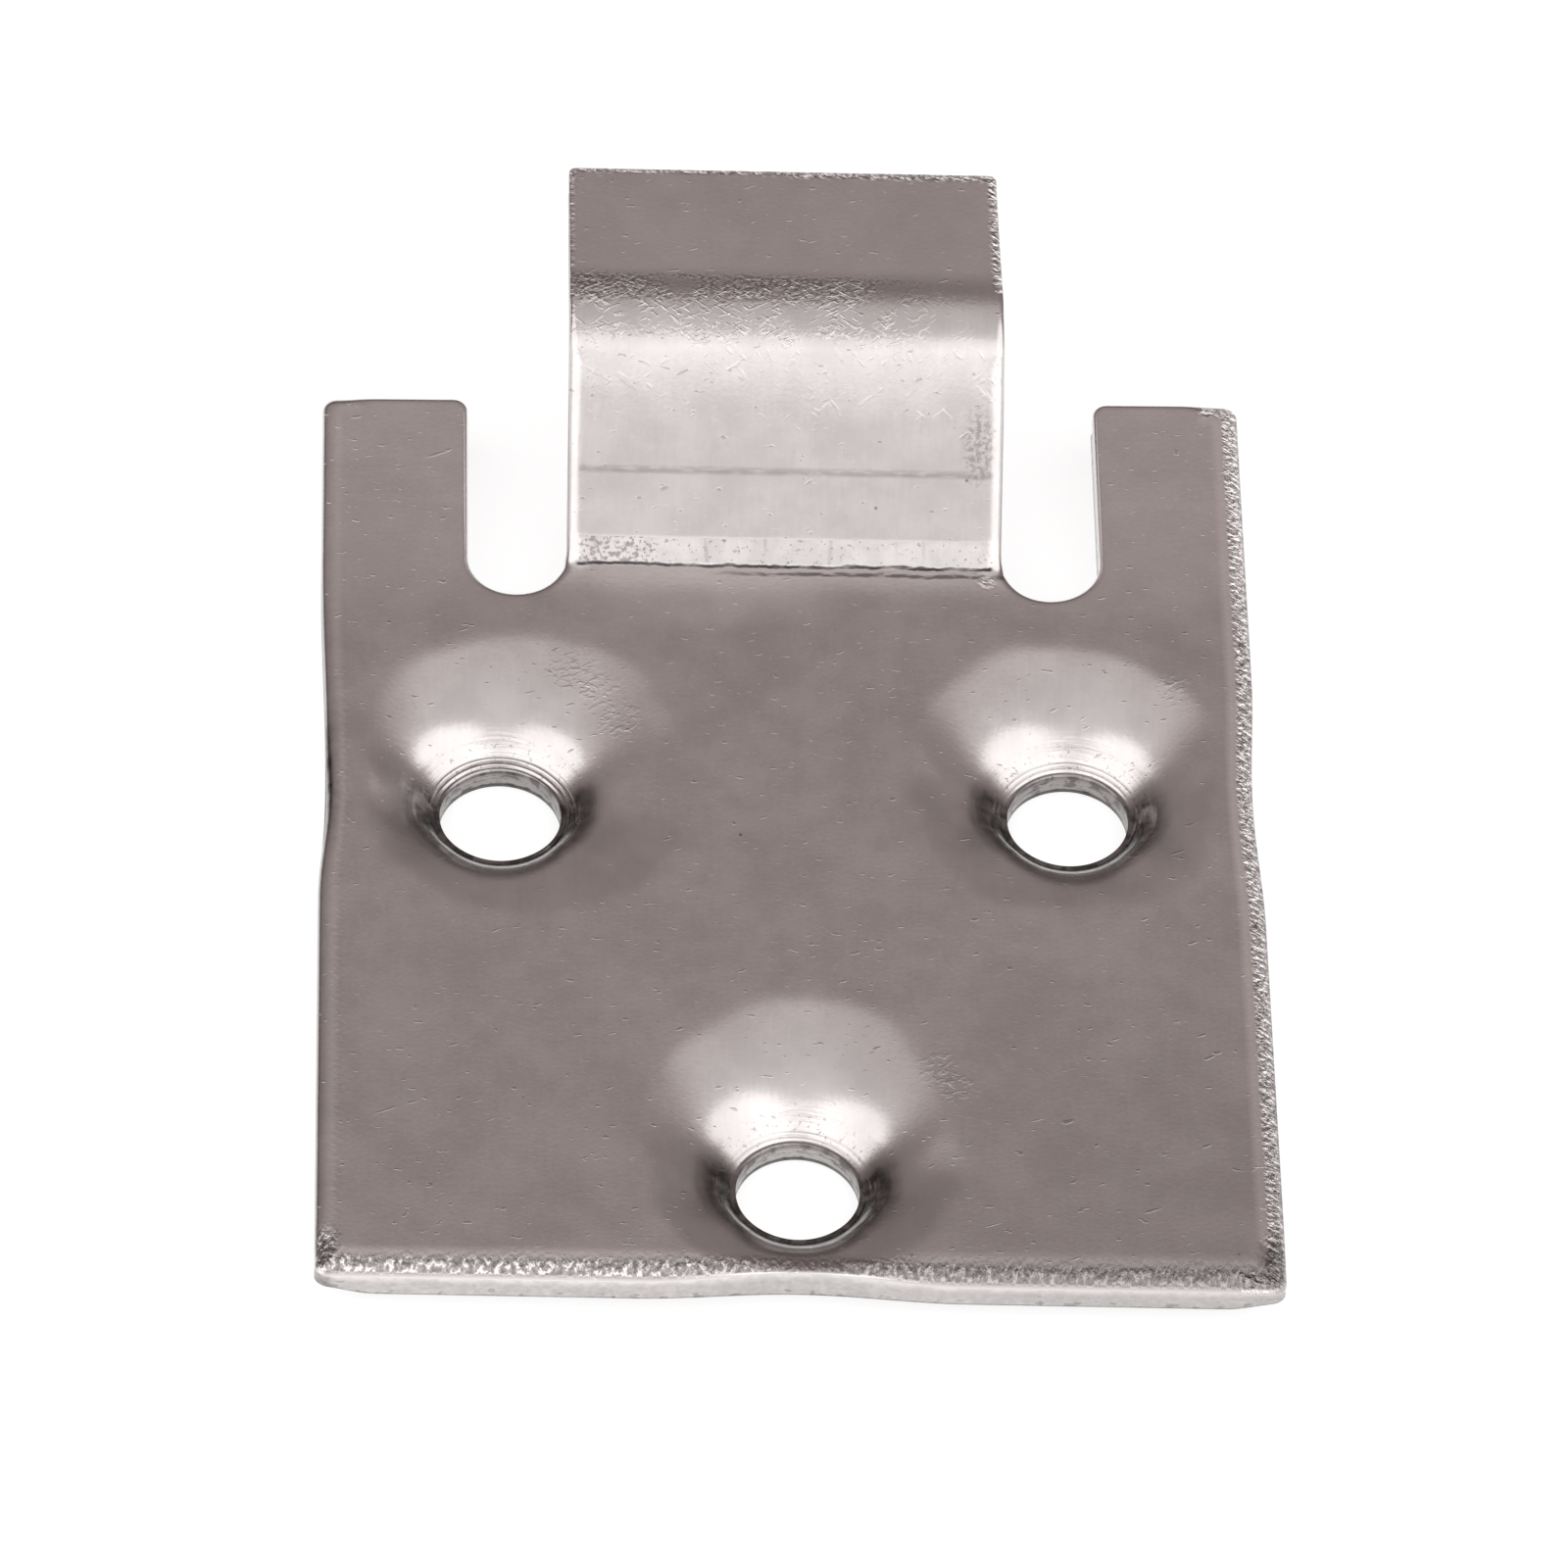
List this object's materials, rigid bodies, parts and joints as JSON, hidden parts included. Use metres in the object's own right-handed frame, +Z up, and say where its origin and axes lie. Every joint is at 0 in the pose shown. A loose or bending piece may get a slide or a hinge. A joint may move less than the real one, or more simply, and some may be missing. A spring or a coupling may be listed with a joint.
{
  "type": "seat anchor plate",
  "caption": "Stamped steel plate with dimpled screw holes and a folded hook tab between two slots, for anchoring a hinged seat base.",
  "frame": {"origin": "under the middle of the part's outer box, on the plane that the rims of the three dimples rest on", "axes": "+Y from the near edge to the end of the folded tab, +Z up out of the face that the screws enter, +X to the right"},
  "size_m": [0.0636, 0.0872, 0.0167],
  "materials": {
    "steel_sheet": "bare stamped sheet steel with a dull satin surface, fine scuffs and burnished edges"
  },
  "bodies": {
    "root": {"anchor_plate": "steel_sheet"}
  },
  "joints": []
}
